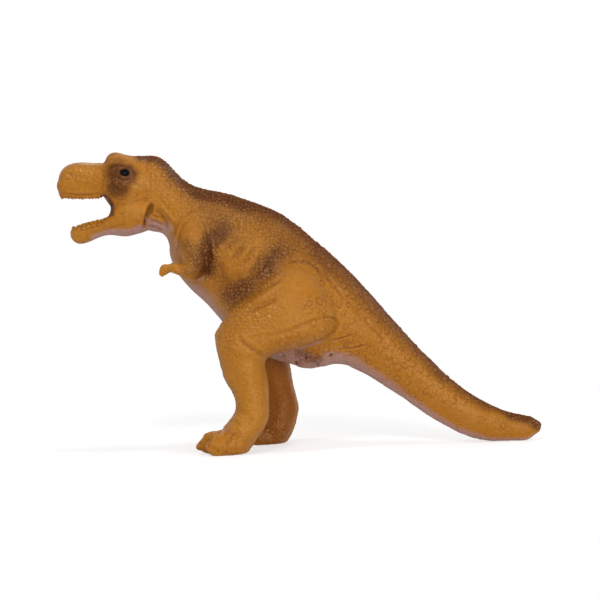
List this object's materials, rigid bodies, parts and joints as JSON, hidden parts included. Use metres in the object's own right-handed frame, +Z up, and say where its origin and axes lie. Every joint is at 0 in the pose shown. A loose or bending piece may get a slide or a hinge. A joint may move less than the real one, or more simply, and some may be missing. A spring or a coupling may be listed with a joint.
{
  "type": "toy dinosaur figure",
  "caption": "Soft plastic toy dinosaur, a large two-legged meat eater with an open toothed mouth, short arms and a long tapering tail, standing on its feet and tail.",
  "frame": {"origin": "centre of the figure's footprint box, on the ground that the soles and the tail rest on", "axes": "+X from the snout towards the tail, +Y towards the figure's right side, +Z up"},
  "size_m": [0.172, 0.0542, 0.108],
  "materials": {
    "skin_flank": "satin soft vinyl, ochre orange, brown sprayed along the back, mauve grey under the belly",
    "skin_head": "satin soft vinyl, ochre orange, brown sprayed round the eye, eye painted gloss black",
    "skin_limb": "satin soft vinyl, ochre orange with unpainted claws"
  },
  "bodies": {
    "root": {"torso": "skin_flank", "tail": "skin_flank", "head": "skin_head", "lower_jaw": "skin_head", "arm_left": "skin_limb", "arm_right": "skin_limb", "leg_left": "skin_limb", "leg_right": "skin_limb"}
  },
  "joints": []
}
